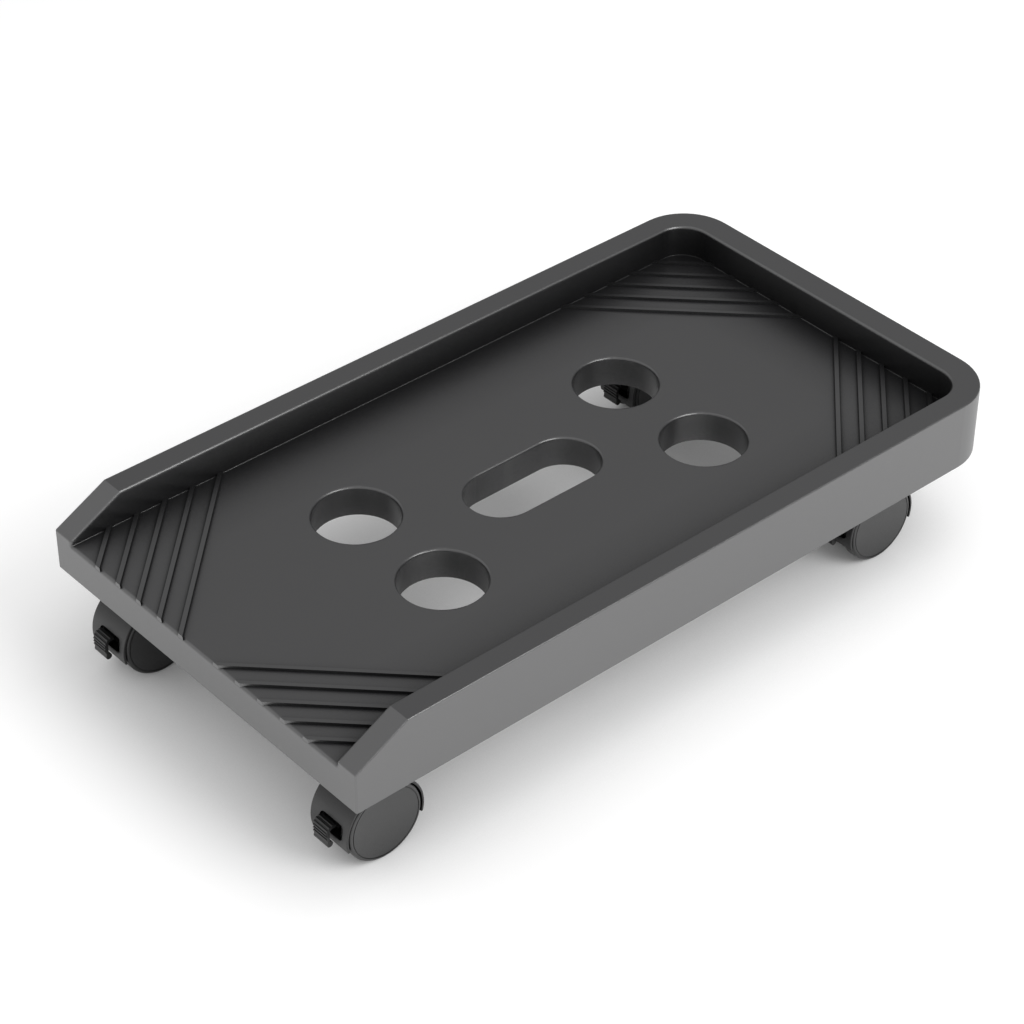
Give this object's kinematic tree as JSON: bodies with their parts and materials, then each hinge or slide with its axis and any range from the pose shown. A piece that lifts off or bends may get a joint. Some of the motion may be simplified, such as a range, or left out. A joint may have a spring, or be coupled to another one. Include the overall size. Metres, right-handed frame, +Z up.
{
  "type": "cpu holder",
  "caption": "Low moulded tray on braked swivel casters, with a raised rim open at the front and floor vents, to carry a desktop computer.",
  "frame": {"origin": "on the ground plane under the middle of the tray, where the wheels rest", "axes": "+Z up, +Y along the tray's length towards the closed rear rim, +X to the right seen from the open front"},
  "size_m": [0.26, 0.4726, 0.1041],
  "materials": {
    "tray_plastic": "dark grey fine-textured moulding",
    "caster_plastic": "satin dark grey moulding",
    "wheel_plastic": "satin dark grey moulding",
    "lever_plastic": "satin dark grey moulding",
    "steel": "zinc plated",
    "spring_steel": "plain spring steel"
  },
  "bodies": {
    "tray": {"tray": "tray_plastic", "front_left_stem": "steel", "front_left_grip_ring": "spring_steel", "front_right_stem": "steel", "front_right_grip_ring": "spring_steel", "rear_left_stem": "steel", "rear_left_grip_ring": "spring_steel", "rear_right_stem": "steel", "rear_right_grip_ring": "spring_steel"},
    "front_left_caster": {"front_left_housing": "caster_plastic", "front_left_axle": "steel", "front_left_lever_pin": "steel"},
    "front_left_wheel_left": {"front_left_wheel_left": "wheel_plastic"},
    "front_left_wheel_right": {"front_left_wheel_right": "wheel_plastic"},
    "front_left_brake": {"front_left_brake_lever": "lever_plastic"},
    "front_right_caster": {"front_right_housing": "caster_plastic", "front_right_axle": "steel", "front_right_lever_pin": "steel"},
    "front_right_wheel_left": {"front_right_wheel_left": "wheel_plastic"},
    "front_right_wheel_right": {"front_right_wheel_right": "wheel_plastic"},
    "front_right_brake": {"front_right_brake_lever": "lever_plastic"},
    "rear_left_caster": {"rear_left_housing": "caster_plastic", "rear_left_axle": "steel", "rear_left_lever_pin": "steel"},
    "rear_left_wheel_left": {"rear_left_wheel_left": "wheel_plastic"},
    "rear_left_wheel_right": {"rear_left_wheel_right": "wheel_plastic"},
    "rear_left_brake": {"rear_left_brake_lever": "lever_plastic"},
    "rear_right_caster": {"rear_right_housing": "caster_plastic", "rear_right_axle": "steel", "rear_right_lever_pin": "steel"},
    "rear_right_wheel_left": {"rear_right_wheel_left": "wheel_plastic"},
    "rear_right_wheel_right": {"rear_right_wheel_right": "wheel_plastic"},
    "rear_right_brake": {"rear_right_brake_lever": "lever_plastic"}
  },
  "joints": [
    {"name": "front_left_swivel", "type": "hinge", "parent": "tray", "child": "front_left_caster", "pos_m": [-0.0975, -0.1926, 0.052], "axis": [0, 0, 1], "continuous": true},
    {"name": "front_left_wheel_left_spin", "type": "hinge", "parent": "front_left_caster", "child": "front_left_wheel_left", "pos_m": [-0.10845, -0.2046, 0.0237], "axis": [1, 0, 0], "continuous": true},
    {"name": "front_left_wheel_right_spin", "type": "hinge", "parent": "front_left_caster", "child": "front_left_wheel_right", "pos_m": [-0.08655, -0.2046, 0.0237], "axis": [1, 0, 0], "continuous": true},
    {"name": "front_left_brake_press", "type": "hinge", "parent": "front_left_caster", "child": "front_left_brake", "pos_m": [-0.0975, -0.2196, 0.0272], "axis": [1, 0, 0], "range_deg": [0, 10]},
    {"name": "front_right_swivel", "type": "hinge", "parent": "tray", "child": "front_right_caster", "pos_m": [0.0975, -0.1926, 0.052], "axis": [0, 0, 1], "continuous": true},
    {"name": "front_right_wheel_left_spin", "type": "hinge", "parent": "front_right_caster", "child": "front_right_wheel_left", "pos_m": [0.08655, -0.2046, 0.0237], "axis": [1, 0, 0], "continuous": true},
    {"name": "front_right_wheel_right_spin", "type": "hinge", "parent": "front_right_caster", "child": "front_right_wheel_right", "pos_m": [0.10845, -0.2046, 0.0237], "axis": [1, 0, 0], "continuous": true},
    {"name": "front_right_brake_press", "type": "hinge", "parent": "front_right_caster", "child": "front_right_brake", "pos_m": [0.0975, -0.2196, 0.0272], "axis": [1, 0, 0], "range_deg": [0, 10]},
    {"name": "rear_left_swivel", "type": "hinge", "parent": "tray", "child": "rear_left_caster", "pos_m": [-0.0915, 0.1807, 0.052], "axis": [0, 0, 1], "continuous": true},
    {"name": "rear_left_wheel_left_spin", "type": "hinge", "parent": "rear_left_caster", "child": "rear_left_wheel_left", "pos_m": [-0.10245, 0.1687, 0.0237], "axis": [1, 0, 0], "continuous": true},
    {"name": "rear_left_wheel_right_spin", "type": "hinge", "parent": "rear_left_caster", "child": "rear_left_wheel_right", "pos_m": [-0.08055, 0.1687, 0.0237], "axis": [1, 0, 0], "continuous": true},
    {"name": "rear_left_brake_press", "type": "hinge", "parent": "rear_left_caster", "child": "rear_left_brake", "pos_m": [-0.0915, 0.1537, 0.0272], "axis": [1, 0, 0], "range_deg": [0, 10]},
    {"name": "rear_right_swivel", "type": "hinge", "parent": "tray", "child": "rear_right_caster", "pos_m": [0.0915, 0.1807, 0.052], "axis": [0, 0, 1], "continuous": true},
    {"name": "rear_right_wheel_left_spin", "type": "hinge", "parent": "rear_right_caster", "child": "rear_right_wheel_left", "pos_m": [0.08055, 0.1687, 0.0237], "axis": [1, 0, 0], "continuous": true},
    {"name": "rear_right_wheel_right_spin", "type": "hinge", "parent": "rear_right_caster", "child": "rear_right_wheel_right", "pos_m": [0.10245, 0.1687, 0.0237], "axis": [1, 0, 0], "continuous": true},
    {"name": "rear_right_brake_press", "type": "hinge", "parent": "rear_right_caster", "child": "rear_right_brake", "pos_m": [0.0915, 0.1537, 0.0272], "axis": [1, 0, 0], "range_deg": [0, 10]}
  ]
}
